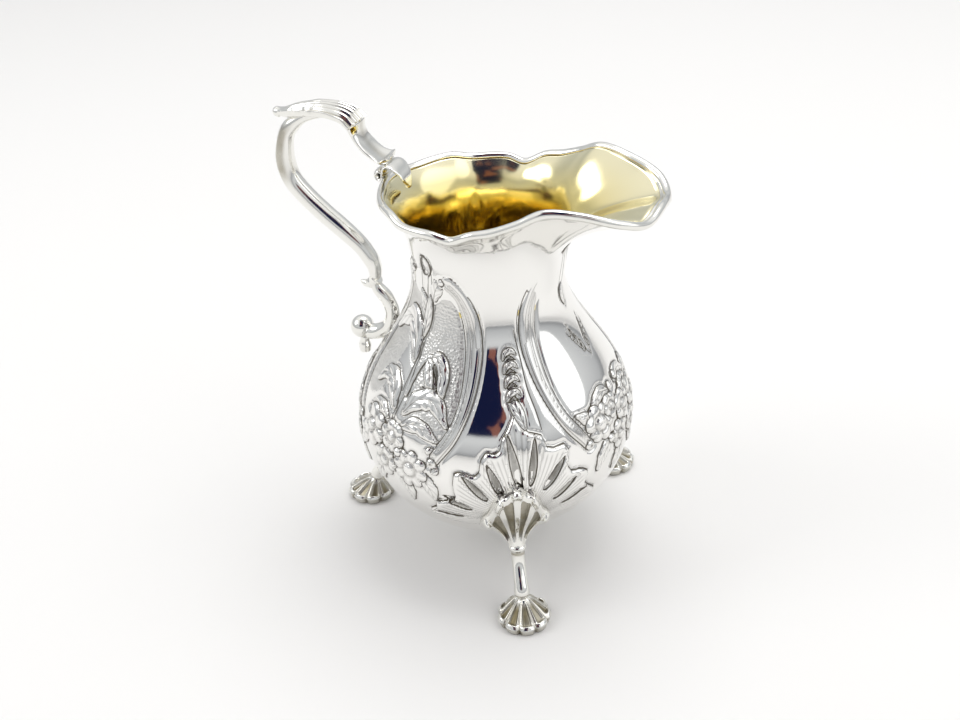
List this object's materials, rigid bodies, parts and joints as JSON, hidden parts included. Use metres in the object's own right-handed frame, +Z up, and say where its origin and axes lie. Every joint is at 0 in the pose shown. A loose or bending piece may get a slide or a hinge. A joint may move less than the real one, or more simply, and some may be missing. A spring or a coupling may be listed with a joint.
{
  "type": "cream jug",
  "caption": "Silver cream jug: chased round bowl, wavy mouth with a broad spout, gilded inside, cast scroll handle with a leaf thumbpiece, shell feet.",
  "frame": {"origin": "on the surface the jug stands on, under the middle of its plan", "axes": "+X the way the spout points, -X the handle's side, +Z up"},
  "size_m": [0.0986, 0.0808, 0.1147],
  "materials": {
    "chased_silver": "polished silver, chased, tarnished in the recesses",
    "cast_silver": "polished cast silver, tarnished in the recesses",
    "gilding": "polished yellow gilding"
  },
  "bodies": {
    "root": {"body": "chased_silver", "gilt_lining": "gilding", "rim_wire": "cast_silver", "handle_leaf_cap": "cast_silver", "handle_main_scroll": "cast_silver", "handle_bracket": "cast_silver", "handle_tongue": "cast_silver", "handle_spur": "cast_silver", "handle_lower_scroll": "cast_silver", "handle_ball": "cast_silver", "handle_drop": "cast_silver", "knee_shell_front_left": "cast_silver", "leg_shank_front_left": "cast_silver", "foot_shell_front_left": "cast_silver", "knee_shell_back": "cast_silver", "leg_shank_back": "cast_silver", "foot_shell_back": "cast_silver", "knee_shell_front_right": "cast_silver", "leg_shank_front_right": "cast_silver", "foot_shell_front_right": "cast_silver"}
  },
  "joints": []
}
